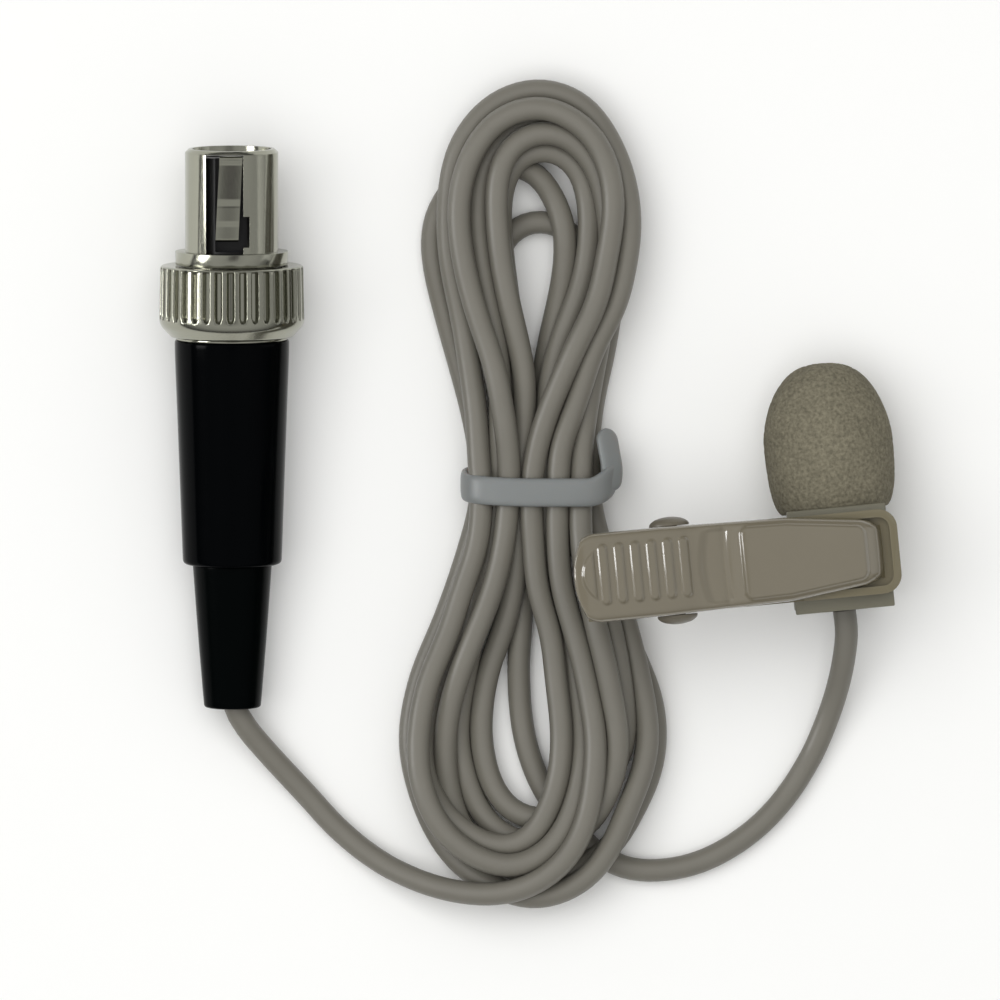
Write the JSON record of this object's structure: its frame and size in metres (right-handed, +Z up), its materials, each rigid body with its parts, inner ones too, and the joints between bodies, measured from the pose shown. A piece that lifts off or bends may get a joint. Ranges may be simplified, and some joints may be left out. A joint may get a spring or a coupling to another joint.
{
  "type": "lavalier microphone",
  "caption": "Lavalier microphone: foam-covered capsule in a swivelling sprung tie clip, on a tied hank of thin lead with a small latching plug and knurled collar.",
  "frame": {"origin": "on the surface that everything lies on, under the middle of the microphone and its clip, which is the centre of their box without the lead and plug", "axes": "+Y along the microphone's axis towards the windscreen's crown, +X along the clip towards its jaw's tip, +Z up, away from the surface"},
  "size_m": [0.0683, 0.079, 0.0211],
  "materials": {
    "capsule_metal": "satin",
    "acoustic_felt": "matte",
    "bare_metal": "satin",
    "black_rubber": "matte",
    "board": "satin",
    "wire": "satin",
    "foam": "matte",
    "holder_plastic": "satin",
    "clip_plastic": "gloss",
    "lever_plastic": "gloss",
    "spring_steel": "polished",
    "nickel": "polished",
    "insert_plastic": "satin",
    "contact_brass": "polished",
    "black_gloss": "gloss",
    "black_boot": "satin",
    "jacket": "satin",
    "strap": "satin"
  },
  "bodies": {
    "lead": {"capsule_housing": "capsule_metal", "capsule_grille": "capsule_metal", "mesh_disc": "acoustic_felt", "electret_capsule": "bare_metal", "capsule_gasket": "black_rubber", "circuit_board": "board", "mic_conductors": "wire", "rear_bush": "black_rubber", "plug_shell": "nickel", "contact_insert": "insert_plastic", "contact_sockets": "contact_brass", "clamp_washer": "nickel", "rear_housing": "black_gloss", "strain_relief_boot": "black_boot", "cable_clamp": "bare_metal", "plug_conductors": "wire", "cord_plug_tail": "jacket", "cord_hank": "jacket", "cord_mic_tail": "jacket", "cord_tie": "strap"},
    "windscreen": {"windscreen": "foam"},
    "holder": {"mic_holder": "holder_plastic", "swivel_rivet": "bare_metal"},
    "clip": {"clip_base": "clip_plastic", "hinge_pin": "clip_plastic", "clip_spring": "spring_steel", "swivel_washer": "bare_metal"},
    "lever": {"clip_lever": "lever_plastic"},
    "collar": {"knurled_collar": "nickel"},
    "latch": {"latch_spring": "nickel"}
  },
  "joints": [
    {"name": "windscreen_pull", "type": "slide", "parent": "lead", "child": "windscreen", "axis": [0, 1, 0], "range_m": [0, 0.0105]},
    {"name": "holder_turn", "type": "hinge", "parent": "lead", "child": "holder", "pos_m": [0.0099, -0.007, 0.00615], "axis": [0, 1, 0], "range_deg": [0, 90]},
    {"name": "clip_swivel", "type": "hinge", "parent": "holder", "child": "clip", "pos_m": [0.0099, -0.0065, 0.0126], "axis": [0, 0, 1], "range_deg": [-90, 90]},
    {"name": "clip_open", "type": "hinge", "parent": "clip", "child": "lever", "pos_m": [-0.006, -0.0065, 0.0157], "axis": [0, -1, 0], "range_deg": [0, 22], "stiffness_Nm_per_rad": 0.0006, "springref_deg": -45.84},
    {"name": "collar_spin", "type": "hinge", "parent": "lead", "child": "collar", "pos_m": [-0.0452, 0.02306, 0.00708], "axis": [0.0954, 0.9908, 0.0956], "continuous": true},
    {"name": "latch_press", "type": "hinge", "parent": "lead", "child": "latch", "pos_m": [-0.04392, 0.03628, 0.01232], "axis": [0.9954, -0.0958, 0], "range_deg": [0, 4], "stiffness_Nm_per_rad": 0.00008, "springref_deg": -2.86}
  ]
}
